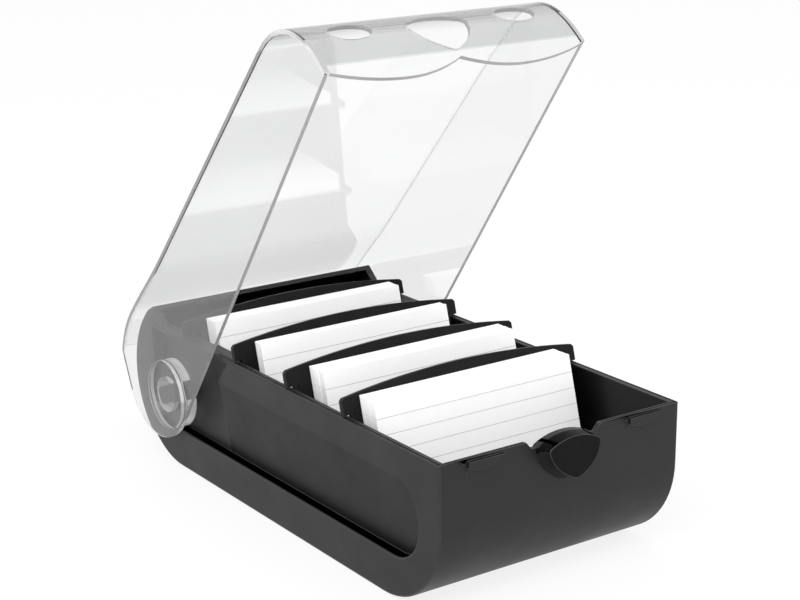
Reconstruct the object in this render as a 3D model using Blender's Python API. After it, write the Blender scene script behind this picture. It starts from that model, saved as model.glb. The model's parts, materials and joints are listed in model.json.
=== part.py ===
"""Index card box: a moulded tray, a clear hinged lid, four support plates and four packs of ruled cards.

Metres, +Z up. The origin is the middle of the tray's flat underside. The front faces -Y.
The lid is drawn closed about its hinge axis and then stood open on the axis empty.
"""
import math

import bmesh
import bpy

# Cards: A7 landscape, standing on the tray's floor and leaning back on the plates
card_width = 0.105
card_height = 0.074
card_sheet = 0.0003
card_lean = math.radians(15.3)
card_columns = 24
stack_depth = 0.0097
stack_depth_shares = (0.93, 1.0, 0.38, 0.69)
pack_shift = 0.002
pack_shift_shares = (-0.75, 1.0, 0.5, 1.0)
single_cards = ("front_card", "second_card", "third_card")

# Clearances
rest_gap = 0.0003
card_side_clearance = 0.0024
pivot_clearance = 0.0004
overrun = 0.004
merge_distance = 0.0001
smooth_angle = math.radians(25)

# Tray; its width follows from the cards and its round ends from the rim's height
tray_length = 0.258
rim_height = 0.0685
rear_height_share = 1.13
end_radius_share = 0.5985
side_draft = 0.0007
front_wall = 0.0025
rim_width = 0.0036
moulded_wall = 0.0022
floor_thickness = 0.005
rear_slope_run = 0.0108
arc_steps = 20

# Groove that runs round the rim
groove_inset = 0.0009
groove_width = 0.0007
groove_depth = 0.0010

# Side recesses and hinge pockets
recess_radius_share = 0.4866
recess_depth = 0.0058
recess_setback = 0.0150
pocket_setback_share = 0.6415
pocket_slant = 0.0095
pocket_flange = 0.0020

# Hinge, placed from the centre of the tray's round rear end
hinge_back = 0.0025
hinge_drop = 0.0036
stud_radius = 0.0083
stud_flat = 0.0043
boss_gap = 0.0012
boss_proud = 0.0018
boss_cap = 0.0019
boss_bore_radius = stud_radius + pivot_clearance
slot_angle = math.radians(208)

# Front notch and thumb nose
notch_top_half = 0.0194
notch_bottom_half = 0.0168
notch_depth = 0.0032
nose_half_width = 0.0137
nose_height = 0.0143
nose_top_drop = 0.0028
nose_arch = 0.0038
nose_reach_top = 0.0072
nose_reach_tip = 0.0093
nose_root_half_width = 0.0165
nose_root_height = 0.0190
nose_root_arch = 0.0045
nose_root_corner_share = 0.05
nose_corner_share = 0.02
nose_side_bulge_share = 0.2
nose_sections = 7
nose_points = 48

# Crescent lid rests on the front face
rest_middle = 0.0420
rest_half_width = 0.0108
rest_top_drop = 0.0011
rest_height = 0.0046
rest_reach = 0.0014
rest_slit = 0.0009
rest_slit_place_share = 0.8
rest_steps = 16

# Lid, drawn closed about the hinge axis; it follows the tray's width, length and rear end
lid_wall = 0.0019
cheek_gap = 0.0018
lid_overhang = 0.0120
lid_swing_gap = 0.0059
lid_hump = 0.0020
lid_nose_depth = 0.0345
lid_front_roundness = 2.4
lid_front_steps = 22
lid_rear_end = math.radians(60)
lid_rear_step = math.radians(3.7)
lid_hump_run = 0.050
lid_hump_steps = 16
lid_open = math.radians(48)
cheek_drop = 0.0180
cheek_front_rise = 0.0064
cheek_lobe_radius = 0.0314
cheek_lobe_forward = 0.0030
cheek_lobe_up = 0.0134
cheek_lobe_end = math.radians(25)
scallop_low = 0.0008
scallop_rise = 0.0070
scallop_middle = 0.0290
scallop_steps = 40

# Openings through the lid's front
oval_middle = 0.0425
oval_half_width = 0.0102
oval_half_height = 0.0059
oval_height = 0.0284
pick_half_width = 0.0158
pick_top = 0.0284
pick_tip = 0.0097
pick_arch = 0.0050
pick_steps = 48
hole_steps = 32

# Support plates
plate_thickness = 0.0024
plate_first_share = 0.2609
plate_pitch_share = 0.1756
plate_lug_height = 0.0076
plate_arch = 0.0046
plate_count = 4
plate_foot_gap = 0.0012
plate_arc_steps = 24
lug_corner = 0.0012
plate_side_gap = 0.0004
relief_radius = 0.0006
relief_from_edge = 0.0061
relief_drop = 0.0002
relief_sides = 12

# Places worked out from the sizes above
inner_half_width = card_width / 2 + card_side_clearance
recess_floor_half = inner_half_width + moulded_wall
half_width = recess_floor_half + recess_depth
cavity_half_width = half_width - rim_width
end_radius = rim_height * end_radius_share
rear_height = rim_height * rear_height_share
front_y = -tray_length / 2
rear_y = tray_length / 2
hinge_y = rear_y - end_radius + hinge_back
hinge_height = end_radius - hinge_drop
recess_radius = hinge_height * recess_radius_share
recess_low = hinge_height - recess_radius
recess_high = hinge_height + recess_radius
pocket_setback = tray_length * pocket_setback_share
pocket_top = rim_height - pocket_flange
bulge_meets_wall = recess_low + 2 * recess_radius * (cavity_half_width - inner_half_width) / recess_depth
cheek_inner = half_width + cheek_gap
lid_half_width = cheek_inner + lid_wall
lid_rear_radius = end_radius + lid_swing_gap + lid_wall
lid_top = lid_rear_radius - lid_hump
lid_reach = hinge_y - front_y + lid_overhang
lid_front_height = lid_top - cheek_front_rise + scallop_low
boss_radius = recess_radius - boss_gap
plate_first = tray_length * plate_first_share
plate_pitch = tray_length * plate_pitch_share
plate_body = inner_half_width - 2 * rest_gap
plate_shoulder = cavity_half_width - plate_side_gap
boss_inner = recess_floor_half + recess_depth / 2
lid_front = -lid_reach
lean_run = math.tan(card_lean)


def clear_scene():
    """Remove what the scene starts with."""
    for item in list(bpy.context.scene.objects):
        bpy.data.objects.remove(item, do_unlink=True)


def make_material(name, color, roughness, alpha=1.0, transmission=0.0):
    """Principled BSDF material of one plain finish."""
    mat = bpy.data.materials.new(name)
    mat.use_nodes = True
    shader = mat.node_tree.nodes["Principled BSDF"]
    shader.inputs["Base Color"].default_value = (*color, 1.0)
    shader.inputs["Roughness"].default_value = roughness
    shader.inputs["Metallic"].default_value = 0.0
    shader.inputs["Alpha"].default_value = alpha
    shader.inputs["Transmission Weight"].default_value = transmission
    return mat


def charcoal_plastic():
    """Matt charcoal polystyrene of the tray."""
    return make_material("charcoal_plastic", (0.045, 0.045, 0.046), 0.55)


def black_plastic():
    """Black polystyrene of the support plates."""
    return make_material("black_plastic", (0.020, 0.020, 0.021), 0.45)


def clear_plastic():
    """Clear crystal polystyrene of the lid."""
    return make_material("clear_plastic", (0.95, 0.96, 0.97), 0.05, 0.35, 1.0)


def card_paper():
    """White card."""
    return make_material("card_paper", (0.93, 0.93, 0.92), 0.8)


def arc(center, radius, start, end, steps):
    """Points along a round stretch, both ends included."""
    points = []
    for i in range(steps + 1):
        angle = start + (end - start) * i / steps
        points.append((center[0] + radius * math.cos(angle), center[1] + radius * math.sin(angle)))
    return points


def add_object(name, bm, mat=None):
    """Turn a bmesh into a named object whose faces point out."""
    bmesh.ops.recalc_face_normals(bm, faces=bm.faces)
    mesh = bpy.data.meshes.new(name)
    bm.to_mesh(mesh)
    bm.free()
    item = bpy.data.objects.new(name, mesh)
    bpy.context.scene.collection.objects.link(item)
    if mat is not None:
        mesh.materials.append(mat)
    return item


def bridge(bm, low, high):
    """Close two matching rings of vertices into a solid."""
    count = len(low)
    bm.faces.new(low)
    bm.faces.new(list(reversed(high)))
    for i in range(count):
        j = (i + 1) % count
        bm.faces.new((low[i], high[i], high[j], low[j]))


def side_prism(name, outline, low_x, high_x, mat=None):
    """Solid with a (y, z) outline, from low_x(y, z) to high_x(y, z)."""
    bm = bmesh.new()
    low = [bm.verts.new((low_x(y, z), y, z)) for y, z in outline]
    high = [bm.verts.new((high_x(y, z), y, z)) for y, z in outline]
    bridge(bm, low, high)
    return add_object(name, bm, mat)


def front_prism(name, outline, low_y, high_y, mat=None):
    """Solid with an (x, z) outline, between two heights along Y."""
    bm = bmesh.new()
    low = [bm.verts.new((x, low_y, z)) for x, z in outline]
    high = [bm.verts.new((x, high_y, z)) for x, z in outline]
    bridge(bm, low, high)
    return add_object(name, bm, mat)


def top_prism(name, outline, low_z, high_z):
    """Solid with an (x, y) outline, between two heights along Z."""
    bm = bmesh.new()
    low = [bm.verts.new((x, y, low_z)) for x, y in outline]
    high = [bm.verts.new((x, y, high_z)) for x, y in outline]
    bridge(bm, low, high)
    return add_object(name, bm)


def combine(target, tool, operation):
    """Add one Boolean step; the tool stays as a hidden wire guide."""
    step = target.modifiers.new(tool.name, 'BOOLEAN')
    step.operation = operation
    step.solver = 'EXACT'
    step.object = tool
    tool.hide_render = True
    tool.display_type = 'WIRE'
    return tool


def mirrored(outline, side):
    """The same (x, z) or (x, y) outline on the +X or -X side."""
    return [(side * a, b) for a, b in outline]


def constant(value):
    """Side position that is the same everywhere."""
    return lambda y, z: value


def shade_round(item, angle):
    """Shade smooth, keeping edges sharper than the angle."""
    item.data.shade_smooth()
    item.data.set_sharp_from_angle(angle=angle)


def tray_outline():
    """Side view of the tray's outside: straight front, round ends and a raised rear wall."""
    front = arc((front_y + end_radius, end_radius), end_radius, math.pi, 1.5 * math.pi, arc_steps)
    rear_angle = math.asin((rear_height - end_radius) / end_radius)
    rear = arc((rear_y - end_radius, end_radius), end_radius, -0.5 * math.pi, rear_angle, 2 * arc_steps)
    slope_start = (rear[-1][0] - rear_slope_run, rim_height)
    return [(front_y, rim_height), *front, *rear, slope_start]


def cavity_outline():
    """Side view of the inside: the outside drawn in by the wall, with a level floor."""
    radius = end_radius - front_wall
    centre_y = front_y + end_radius
    drop = math.asin((end_radius - floor_thickness) / radius)
    front = arc((centre_y, end_radius), radius, math.pi, math.pi + drop, arc_steps)
    rear_angle = math.asin((rear_height - end_radius) / radius)
    rear = arc((rear_y - end_radius, end_radius), radius, -drop, rear_angle, 2 * arc_steps)
    open_top = rear_height + overrun
    return [(front_y + front_wall, open_top), *front, *rear, (rear[-1][0], open_top)]


def outside_half(y, z):
    """Half width of the tray's outside, which narrows to the bottom by the draft."""
    return half_width - side_draft * (1 - z / rim_height)


def recess_outline(grow):
    """Side view of the long recess: round ends, the rear one about the hinge."""
    radius = recess_radius + grow
    front_centre = (front_y + recess_setback + recess_radius, hinge_height)
    front = arc(front_centre, radius, 0.5 * math.pi, 1.5 * math.pi, arc_steps)
    rear = arc((hinge_y, hinge_height), radius, -0.5 * math.pi, 0.5 * math.pi, arc_steps)
    return front + rear


def pocket_outline(grow, top):
    """Side view of the hinge pocket, which runs up to the top given."""
    radius = recess_radius + grow
    front_low = front_y + pocket_setback + pocket_slant - grow
    front_high = front_y + pocket_setback - grow
    rear = arc((hinge_y, hinge_height), radius, -0.5 * math.pi, 0, arc_steps)
    low = hinge_height - radius
    return [(front_low, low), *rear, (hinge_y + radius, top), (front_high, top), (front_low, recess_high)]


def recess_face(y, z):
    """Half width at the recess's slanted face, deepest at its lower ledge."""
    return recess_floor_half + recess_depth * (z - recess_low) / (2 * recess_radius)


def add_recess(tray, side, tag):
    """Press one side wall inwards: a long fading recess and the hinge pocket behind it."""
    outside = constant(side * (half_width + overrun))
    embed = constant(side * (cavity_half_width + rim_width / 2))
    inner_shift = recess_floor_half - inner_half_width

    def inner_face(y, z):
        return side * (recess_face(y, z) - inner_shift)

    def recess_floor(y, z):
        return side * recess_face(y, z)

    pocket_floor = constant(side * recess_floor_half)
    pocket_inner = constant(side * inner_half_width)
    bulge = side_prism("recess_bulge_" + tag, bulge_outline(), inner_face, embed)
    combine(tray, bulge, 'UNION')
    swell = side_prism("pocket_bulge_" + tag, pocket_outline(moulded_wall, rim_height), pocket_inner, embed)
    combine(tray, swell, 'UNION')
    hollow = side_prism("recess_cut_" + tag, recess_outline(0.0), recess_floor, outside)
    combine(tray, hollow, 'DIFFERENCE')
    pocket = side_prism("pocket_cut_" + tag, pocket_outline(0.0, pocket_top), pocket_floor, outside)
    combine(tray, pocket, 'DIFFERENCE')


def bulge_outline():
    """The recess's outline grown by the wall, cut off where its slanted face meets the side wall."""
    inner_shift = recess_floor_half - inner_half_width
    rise = (cavity_half_width + rim_width / 4 + inner_shift - recess_floor_half) / recess_depth
    top = recess_low + rise * 2 * recess_radius
    outline = [(y, min(z, top)) for y, z in recess_outline(moulded_wall)]
    kept = [outline[0]]
    for point in outline[1:]:
        if math.dist(point, kept[-1]) > merge_distance:
            kept.append(point)
    return trimmed_level(kept, top)


def trimmed_level(outline, top):
    """Drop the middle points of the level stretch along the top."""
    count = len(outline)
    kept = []
    for i, point in enumerate(outline):
        before = outline[i - 1]
        after = outline[(i + 1) % count]
        if point[1] == top and before[1] == top and after[1] == top:
            continue
        kept.append(point)
    return kept


def add_stud(tray, side, tag):
    """Moulded hinge stud with two flats, standing in the hinge pocket."""
    rise = math.asin(stud_flat / stud_radius)
    turn = slot_angle - lid_open
    front = arc((0.0, 0.0), stud_radius, math.pi - rise, math.pi + rise, arc_steps // 2)
    rear = arc((0.0, 0.0), stud_radius, -rise, rise, arc_steps // 2)
    outline = []
    for y, z in front + rear:
        turned_y = y * math.cos(turn) - z * math.sin(turn)
        turned_z = y * math.sin(turn) + z * math.cos(turn)
        outline.append((hinge_y + turned_y, hinge_height + turned_z))
    root = constant(side * (recess_floor_half - moulded_wall / 2))
    tip = constant(side * (lid_half_width + boss_proud - boss_cap - rest_gap))
    stud = side_prism("stud_" + tag, outline, root, tip)
    combine(tray, stud, 'UNION')


def add_notch(tray):
    """Shallow notch in the front rim for the thumb."""
    top = rim_height + overrun
    spread = notch_top_half + (notch_top_half - notch_bottom_half) * overrun / notch_depth
    bottom = rim_height - notch_depth
    outline = [(-spread, top), (-notch_bottom_half, bottom), (notch_bottom_half, bottom), (spread, top)]
    cutter = front_prism("notch_cut", outline, front_y - overrun, front_y + front_wall + overrun)
    combine(tray, cutter, 'DIFFERENCE')


def pick_point(share, half, height, arch):
    """Point on a rounded three-cornered outline, tip down; share runs once round from the left corner."""
    stretch = share * 3
    if stretch < 1:
        across = 2 * stretch - 1
        return (half * across, arch * (1 - across * across))
    if stretch < 2:
        along = stretch - 1
        bulge = math.sin(math.pi * along) * half * nose_side_bulge_share
        return (half * (1 - along) + bulge, -height * along - bulge * half / (height * 2))
    along = stretch - 2
    bulge = math.sin(math.pi * along) * half * nose_side_bulge_share
    return (-half * along - bulge, -height * (1 - along) - bulge * half / (height * 2))


def pick_outline(half, height, arch, count, corner_share):
    """Three-cornered outline with its corners rounded by averaging along it."""
    dense = [pick_point(i / count, half, height, arch) for i in range(count)]
    spread = max(1, round(count * corner_share))
    outline = []
    for i in range(count):
        near = [dense[(i + k) % count] for k in range(-spread, spread + 1)]
        outline.append((sum(p[0] for p in near) / len(near), sum(p[1] for p in near) / len(near)))
    return outline


def add_nose(tray):
    """Thumb nose: a wide arched root in the wall drawn out to a smaller pick-shaped face."""
    bm = bmesh.new()
    root = pick_outline(nose_root_half_width, nose_root_height, nose_root_arch, nose_points,
                        nose_root_corner_share)
    face = pick_outline(nose_half_width, nose_height, nose_arch, nose_points, nose_corner_share)
    root_top = rim_height - notch_depth
    face_top = rim_height - nose_top_drop
    rings = []
    for section in range(nose_sections):
        share = section / (nose_sections - 1)
        ease = math.sin(0.5 * math.pi * share)
        ring = []
        for (root_x, root_z), (face_x, face_z) in zip(root, face):
            tip_share = min(1.0, max(0.0, -face_z / nose_height))
            reach = nose_reach_top + (nose_reach_tip - nose_reach_top) * tip_share
            x = root_x + (face_x - root_x) * ease
            z = root_top + root_z + (face_top + face_z - root_top - root_z) * ease
            y = front_y + front_wall - (front_wall + reach) * share
            ring.append(bm.verts.new((x, y, z)))
        rings.append(ring)
    bm.faces.new(rings[0])
    bm.faces.new(list(reversed(rings[-1])))
    for near, far in zip(rings[:-1], rings[1:]):
        for i in range(nose_points):
            j = (i + 1) % nose_points
            bm.faces.new((near[i], far[i], far[j], near[j]))
    combine(tray, add_object("nose", bm), 'UNION')


def add_rests(tray):
    """Two crescent rests low on the front rim, each with a slit at its left end."""
    top = rim_height - rest_top_drop
    for side, tag in ((-1, "left"), (1, "right")):
        outline = []
        for i in range(rest_steps + 1):
            across = 2 * i / rest_steps - 1
            x = side * rest_middle + rest_half_width * across
            outline.append((x, top - rest_height * (1 - across ** 2)))
        crescent = front_prism("rest_" + tag, outline, front_y - rest_reach, front_y + front_wall / 2)
        combine(tray, crescent, 'UNION')
        start = side * rest_middle - rest_half_width * rest_slit_place_share
        slit = [(start, top - rest_height), (start + rest_slit, top - rest_height)]
        slit += [(start + 2 * rest_slit, top + rest_slit), (start - rest_slit, top + rest_slit)]
        near = front_y - rest_reach - overrun
        wedge = front_prism("rest_slit_" + tag, slit, near, front_y + front_wall / 4)
        combine(tray, wedge, 'DIFFERENCE')


def add_groove(tray):
    """Fine groove along the outer edge of both side rims and of the front rim."""
    low = rim_height - groove_depth
    high = rim_height + overrun
    start = front_y + groove_inset
    end = front_y + pocket_setback + pocket_slant
    for side, tag in ((-1, "left"), (1, "right")):
        outer = half_width - groove_inset
        outline = [(outer, start), (outer, end), (outer - groove_width, end), (outer - groove_width, start)]
        cutter = top_prism("groove_" + tag, mirrored(outline, side), low, high)
        combine(tray, cutter, 'DIFFERENCE')
        near = notch_top_half + groove_inset
        back = start + groove_width
        outline = [(near, start), (outer, start), (outer, back), (near, back)]
        cutter = top_prism("front_groove_" + tag, mirrored(outline, side), low, high)
        combine(tray, cutter, 'DIFFERENCE')


def make_tray():
    """The charcoal tray: one moulding with recessed sides, hinge studs, notch, nose and rests."""
    tray = side_prism("base_tray", tray_outline(), lambda y, z: -outside_half(y, z), outside_half,
                      charcoal_plastic())
    cavity = side_prism("cavity_cut", cavity_outline(), constant(-cavity_half_width),
                        constant(cavity_half_width))
    combine(tray, cavity, 'DIFFERENCE')
    for side, tag in ((-1, "left"), (1, "right")):
        add_recess(tray, side, tag)
        add_stud(tray, side, tag)
    add_notch(tray)
    add_groove(tray)
    add_rests(tray)
    add_nose(tray)
    shade_round(tray, smooth_angle)
    return tray


def lid_front_curve(inset):
    """Closed lid's front, from the top down: a quarter of a squared ellipse, drawn in by inset."""
    centre_u = lid_front + lid_nose_depth
    centre_n = lid_top - lid_front_height
    power = 2 / lid_front_roundness
    points = []
    for i in range(lid_front_steps + 1):
        angle = 0.5 * math.pi * i / lid_front_steps
        u = centre_u - (lid_nose_depth - inset) * math.sin(angle) ** power
        n = centre_n + (lid_front_height - inset) * math.cos(angle) ** power
        points.append((u, n))
    return points


def lid_rear_curve(inset, start):
    """Closed lid's rear, from its end up: a round stretch to its crown, then a slow fall to the flat top."""
    level = lid_top - inset
    points = arc((0.0, 0.0), lid_rear_radius - inset, start, 0.5 * math.pi, arc_steps)
    for i in range(1, lid_hump_steps + 1):
        share = i / lid_hump_steps
        rise = lid_hump * (1 + math.cos(math.pi * share)) / 2
        points.append((-lid_hump_run * share, level + rise))
    return points


def cheek_line(u):
    """Height of the cheek's lower edge above the hinge axis, rising to the front."""
    front = lid_front + lid_wall
    rear = -cheek_lobe_forward
    return -cheek_drop + (cheek_drop + cheek_front_rise) * (rear - u) / (rear - front)


def lid_outline():
    """Closed lid's side view about the hinge axis: front wall, cheek edge, round lobe, rear and top."""
    front = lid_front_curve(0.0)
    inner = lid_front + lid_wall
    lip = lid_top - lid_front_height - scallop_rise + scallop_low
    lobe_start = math.atan2(-cheek_drop - cheek_lobe_up, -cheek_lobe_forward - cheek_lobe_forward)
    lobe_centre = (cheek_lobe_forward, cheek_lobe_up)
    lobe = arc(lobe_centre, cheek_lobe_radius, lobe_start, cheek_lobe_end, 2 * arc_steps)
    rear = lid_rear_curve(0.0, lid_rear_end)
    return [*front, (lid_front, lip), (inner, lip), (inner, cheek_line(inner)), *lobe, *rear]


def lid_hollow_outline():
    """Side view of the space between the cheeks, open below and behind."""
    front = lid_front_curve(lid_wall)
    wall_end = lid_rear_end + lid_rear_step
    rear = lid_rear_curve(lid_wall, wall_end)
    below = -cheek_lobe_radius - overrun
    past = lid_rear_radius + overrun
    behind = (past * math.cos(wall_end), past * math.sin(wall_end))
    return [*front, (lid_front + lid_wall, below), (past, below), (past, behind[1]), behind, *rear]


def scallop_height(x):
    """Lower edge of the closed lid's front wall: two shallow scallops that meet in a cusp."""
    base = lid_top - lid_front_height - scallop_rise + scallop_low
    side = abs(x)
    if side < scallop_middle:
        share = (scallop_middle - side) / scallop_middle
    else:
        share = (side - scallop_middle) / (lid_half_width - scallop_middle)
    return base + scallop_rise * share ** 2


def cut_scallops(lid):
    """Trim the front wall's lower edge to the scallops."""
    outline = []
    for i in range(scallop_steps + 1):
        x = (lid_half_width + overrun) * (2 * i / scallop_steps - 1)
        outline.append((x, scallop_height(x)))
    below = scallop_height(scallop_middle) - overrun
    outline += [(lid_half_width + overrun, below), (-lid_half_width - overrun, below)]
    cutter = front_prism("scallop_cut", outline, lid_front - overrun, lid_front + lid_wall + merge_distance)
    combine(lid, cutter, 'DIFFERENCE')
    return cutter


def cut_front_holes(lid):
    """Two oval holes and the three-cornered hole that frames the tray's nose."""
    near = lid_front - overrun
    far = lid_front + lid_nose_depth / 2
    cutters = []
    for side, tag in ((-1, "left"), (1, "right")):
        outline = []
        for i in range(hole_steps):
            angle = 2 * math.pi * i / hole_steps
            x = side * oval_middle + oval_half_width * math.cos(angle)
            outline.append((x, oval_height + oval_half_height * math.sin(angle)))
        cutters.append(front_prism("oval_cut_" + tag, outline, near, far))
    pick = pick_outline(pick_half_width, pick_top - pick_tip, pick_arch, pick_steps, nose_corner_share)
    outline = [(x, pick_top + z) for x, z in pick]
    cutters.append(front_prism("pick_cut", outline, near, far))
    for cutter in cutters:
        combine(lid, cutter, 'DIFFERENCE')
    return cutters


def add_boss(lid, side, tag):
    """Round hinge boss on one cheek, with a bore for the stud and a slot to snap over it."""
    inner = constant(side * boss_inner)
    outer = constant(side * (lid_half_width + boss_proud))
    bore_end = constant(side * (lid_half_width + boss_proud - boss_cap))
    mouth = constant(side * (boss_inner - overrun))
    disc = arc((0.0, 0.0), boss_radius, 0.0, 2 * math.pi, 2 * arc_steps)[:-1]
    boss = side_prism("boss_" + tag, disc, inner, outer)
    combine(lid, boss, 'UNION')
    slot_half = stud_flat + pivot_clearance
    spread = math.asin(slot_half / boss_bore_radius)
    bore = arc((0.0, 0.0), boss_bore_radius, spread, 2 * math.pi - spread, 2 * arc_steps)
    reach = boss_radius + pivot_clearance
    outline = []
    for u, n in [*bore, (reach, -slot_half), (reach, slot_half)]:
        turned_u = u * math.cos(slot_angle) - n * math.sin(slot_angle)
        turned_n = u * math.sin(slot_angle) + n * math.cos(slot_angle)
        outline.append((turned_u, turned_n))
    keyhole = side_prism("keyhole_" + tag, outline, mouth, bore_end)
    combine(lid, keyhole, 'DIFFERENCE')
    return [boss, keyhole]


def make_lid():
    """The clear lid, drawn closed about its hinge axis and stood open on the axis empty."""
    axis = bpy.data.objects.new("lid_hinge_axis", None)
    bpy.context.scene.collection.objects.link(axis)
    lid = side_prism("clear_lid", lid_outline(), constant(-lid_half_width), constant(lid_half_width),
                     clear_plastic())
    hollow = side_prism("lid_hollow", lid_hollow_outline(), constant(-cheek_inner), constant(cheek_inner))
    parts = [lid, combine(lid, hollow, 'DIFFERENCE'), cut_scallops(lid), *cut_front_holes(lid)]
    for side, tag in ((-1, "left"), (1, "right")):
        parts += add_boss(lid, side, tag)
    for piece in parts:
        piece.parent = axis
    axis.location = (0.0, hinge_y, hinge_height)
    axis.rotation_euler = (-lid_open, 0.0, 0.0)
    shade_round(lid, smooth_angle)
    return lid


def plate_y(index, z):
    """Front face of a leaning plate at a height."""
    return front_y + plate_first + plate_pitch * index + (z - rim_height) * lean_run


def plate_outline(shoulder):
    """Front view of a plate in its own plane, from the rim line: body, shoulders, lugs and a low arch."""
    edge = half_width - rest_gap / 2
    foot = -(rim_height - floor_thickness - plate_foot_gap) / math.cos(card_lean)
    narrow = -(rim_height - recess_low) / math.cos(card_lean)
    wide = -(rim_height - bulge_meets_wall) / math.cos(card_lean)
    top = plate_lug_height
    right = [(plate_body, foot)]
    if shoulder > plate_body:
        right += [(plate_body, narrow), (shoulder, wide)]
    right += [(shoulder, 0.0), (edge, 0.0), (edge, top - lug_corner)]
    reach = edge - lug_corner
    crown = []
    for i in range(plate_arc_steps + 1):
        across = 1 - 2 * i / plate_arc_steps
        crown.append((reach * across, top + plate_arch * (1 - across ** 2)))
    return right + crown + mirrored(reversed(right), -1)


def plate_mesh_object(name, shoulder, mat):
    """One plate in its own frame: X across, Z up the plate, the front face at Y = 0."""
    plate = front_prism(name, plate_outline(shoulder), 0.0, plate_thickness, mat)
    if shoulder > plate_body:
        for side, tag in ((-1, "left"), (1, "right")):
            centre = (side * (half_width - relief_from_edge), -relief_drop)
            disc = arc(centre, relief_radius, 0.0, 2 * math.pi, relief_sides)[:-1]
            hole = front_prism(name + "_relief_" + tag, disc, -overrun, plate_thickness + overrun)
            combine(plate, hole, 'DIFFERENCE')
            hole.parent = plate
    return plate


def make_plates():
    """Four plates hung on the rims by their lugs; the last is narrower, to fit between the hinge pockets."""
    mat = black_plastic()
    lift = rest_gap + plate_thickness * math.sin(card_lean)
    for index in range(plate_count):
        shoulder = plate_shoulder if index < plate_count - 1 else plate_body
        plate = plate_mesh_object("support_plate_%d" % (index + 1), shoulder, mat)
        z = rim_height + lift
        plate.location = (0.0, plate_y(index, z), z)
        plate.rotation_euler = (-card_lean, 0.0, 0.0)


def leaning_slab(name, depth, mat):
    """Cards standing on the floor and leaning back: a sheared block, its origin at the front foot."""
    run = card_height * math.sin(card_lean)
    rise = card_height * math.cos(card_lean)
    outline = [(0.0, 0.0), (depth, 0.0), (depth + run, rise), (run, rise)]
    return side_prism(name, outline, constant(-card_width / 2), constant(card_width / 2), mat)


def make_packs():
    """Each pack: a stack against its plate and three single cards in front of it."""
    mat = card_paper()
    floor = floor_thickness + rest_gap
    sheet_depth = card_sheet / math.cos(card_lean)
    step = sheet_depth + rest_gap / math.cos(card_lean)
    for index in range(plate_count):
        shift = pack_shift * pack_shift_shares[index]
        depth = stack_depth * stack_depth_shares[index]
        stack_front = plate_y(index, floor) - rest_gap / math.cos(card_lean) - depth
        stack = leaning_slab("card_stack_%d" % (index + 1), depth, mat)
        stack.location = (shift, stack_front, floor)
        for order, kind in enumerate(reversed(single_cards)):
            card = leaning_slab("%s_%d" % (kind, index + 1), sheet_depth, mat)
            card.location = (shift, stack_front - step * (order + 1), floor)


def main():
    clear_scene()
    make_tray()
    make_lid()
    make_plates()
    make_packs()
    bpy.context.view_layer.update()


main()
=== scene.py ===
"""Index card box: the tray, lid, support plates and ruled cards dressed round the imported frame."""
import json
import math
from collections import namedtuple

import bmesh
import bpy
import numpy as np
from bpy.props import FloatProperty, FloatVectorProperty, IntProperty, PointerProperty
from mathutils import Matrix, Vector


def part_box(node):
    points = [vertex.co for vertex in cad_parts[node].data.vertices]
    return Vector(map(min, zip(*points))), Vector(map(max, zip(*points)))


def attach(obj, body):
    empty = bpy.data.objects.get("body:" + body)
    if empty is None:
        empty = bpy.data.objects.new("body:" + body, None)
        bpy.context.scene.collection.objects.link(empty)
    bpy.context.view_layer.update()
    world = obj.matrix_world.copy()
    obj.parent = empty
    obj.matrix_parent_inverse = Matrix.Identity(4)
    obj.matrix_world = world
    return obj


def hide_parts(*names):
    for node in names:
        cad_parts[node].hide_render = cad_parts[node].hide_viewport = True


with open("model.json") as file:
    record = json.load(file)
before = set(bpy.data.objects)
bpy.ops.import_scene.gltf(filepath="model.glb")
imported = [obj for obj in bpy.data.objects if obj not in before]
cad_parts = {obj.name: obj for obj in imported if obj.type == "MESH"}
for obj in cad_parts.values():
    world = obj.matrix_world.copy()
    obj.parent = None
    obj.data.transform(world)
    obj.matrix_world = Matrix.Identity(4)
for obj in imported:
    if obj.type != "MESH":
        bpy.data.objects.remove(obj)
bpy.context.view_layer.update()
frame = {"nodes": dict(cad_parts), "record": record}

bl_info = {
    "name": "Index card box",
    "version": (1, 0, 0),
    "blender": (4, 5, 0),
    "location": "View3D > Sidebar > Card box",
    "description": "Dresses an index card box with moulded plastic, a clear lid and ruled cards",
    "category": "Object",
}

# Cards
PACKS = (1, 2, 3, 4)
SINGLE_CARDS = ("front_card", "second_card", "third_card")
CARD_HEIGHT = 0.074
CARD_LEAN = math.radians(15.3)
CARD_WANDER = 0.00035  # the most that a card's side stands back
TOP_WANDER = 0.6       # share of it for a card's top
CARD_FILL = 0.86       # a card's share of the pitch

# Points and edges
MERGE = 0.00001           # distance at which points are one
NEAR = 0.0001             # distance at which a face or edge is at a place
FLAT = math.radians(0.2)  # turn at which faces are one
SHARP = math.radians(30)  # turn from which an edge is rounded
SHORTEST = 0.0006         # length from which it is
THIRD_SHARE = 0.33
SHADING_WEIGHT = 60

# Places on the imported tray: distances from its mid planes and heights above its underside
CAVITY_HALF = 0.0594
CAVITY_END = 0.1266
WALL_REACH = 0.001
FLOOR_TOP = 0.0045
TRAY_FRONT = -0.129
RIM = 0.0685
GROOVE = (0.0605, 0.0624)
GROOVE_REACH = 0.0025
GROOVE_FLOOR = (0.0670, 0.0680)
BELOW_RIM = 0.0683
LEDGE = 0.0192
LEDGE_REACH = 0.0035
RECESS_FLOOR = 0.0571
RECESS_REACH = 0.117
RECESS_TOP = 0.054
RECESS_TOP_REACH = 0.009
RECESS_FADE = 0.010
RECESS_LIMIT = 0.0635
OUTER_CORNER = 0.0621
STEPS_FRONT = 0.075
STEPS_TOP = 0.030
NOSE_HALF = 0.0185
NOSE_FOOT = 0.045
NOTCH = 0.0653

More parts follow.
